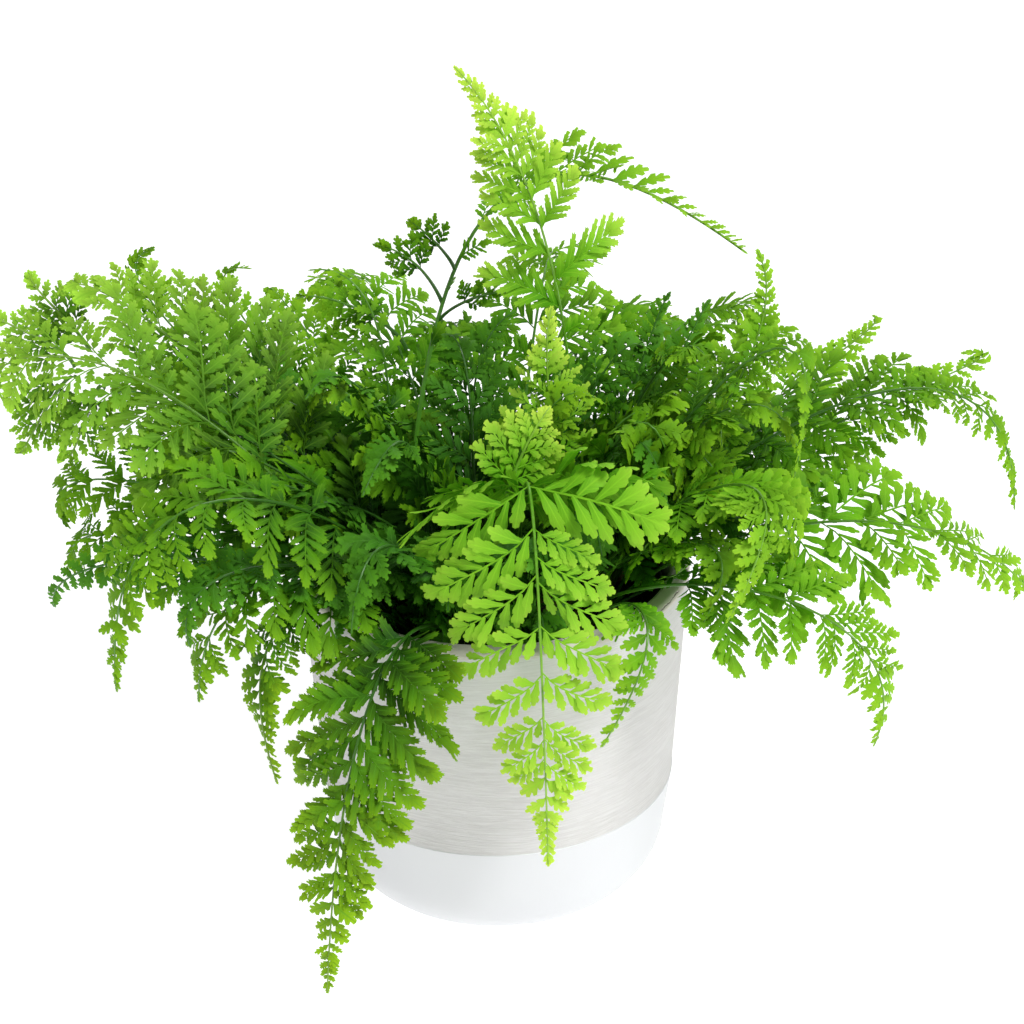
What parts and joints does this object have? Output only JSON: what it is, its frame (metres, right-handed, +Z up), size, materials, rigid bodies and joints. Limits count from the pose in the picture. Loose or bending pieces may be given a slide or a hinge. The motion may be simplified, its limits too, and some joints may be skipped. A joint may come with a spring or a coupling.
{
  "type": "potted bears foot fern",
  "caption": "House fern with finely cut arching fronds, standing in a round two-tone ceramic pot with a rounded foot.",
  "frame": {"origin": "centre of the pot's flat base, on the surface it stands on", "axes": "+Z up along the pot's axis, -Y the side with the hanging front fronds, +X along the plant's widest spread"},
  "size_m": [0.3865, 0.3046, 0.3212],
  "materials": {
    "pot": "matte, combed upper part and smooth white band",
    "grow_pot": "satin black",
    "soil": "rough potting mix",
    "rhizome": "furry",
    "frond_bright": "satin leaf, young yellow-green",
    "frond_fresh": "satin leaf, fresh green",
    "frond_mid": "satin leaf, mid green",
    "frond_dark": "satin leaf, dark green"
  },
  "bodies": {
    "root": {"pot": "pot", "grow_pot": "grow_pot", "soil": "soil", "rhizome_1": "rhizome", "rhizome_2": "rhizome", "rhizome_3": "rhizome", "tall_1": "frond_bright", "tall_2": "frond_mid", "tall_3": "frond_mid", "tall_4": "frond_fresh", "front_1": "frond_mid", "front_2": "frond_bright", "front_3": "frond_fresh", "left_12": "frond_mid", "left_11": "frond_mid", "right_1": "frond_fresh", "right_2": "frond_fresh", "right_3": "frond_fresh", "right_4": "frond_fresh", "right_5": "frond_bright", "right_6": "frond_fresh", "right_7": "frond_bright", "right_8": "frond_mid", "right_9": "frond_mid", "right_10": "frond_dark", "right_11": "frond_mid", "right_12": "frond_mid", "dark_1": "frond_dark", "dark_2": "frond_dark", "dark_3": "frond_dark", "left_1": "frond_bright", "left_2": "frond_bright", "left_3": "frond_fresh", "left_4": "frond_fresh", "left_5": "frond_mid", "left_6": "frond_mid", "left_7": "frond_mid", "left_8": "frond_dark", "left_9": "frond_bright", "left_10": "frond_dark", "left_13": "frond_dark", "left_14": "frond_mid", "centre_1": "frond_dark", "centre_2": "frond_dark", "centre_3": "frond_dark", "centre_4": "frond_dark", "centre_5": "frond_dark", "centre_6": "frond_dark", "centre_7": "frond_dark", "centre_8": "frond_dark", "centre_9": "frond_mid", "right_13": "frond_mid", "back_1": "frond_mid", "back_2": "frond_mid", "back_3": "frond_fresh", "back_4": "frond_mid", "back_5": "frond_fresh", "back_6": "frond_mid", "back_7": "frond_mid", "back_8": "frond_dark"}
  },
  "joints": []
}
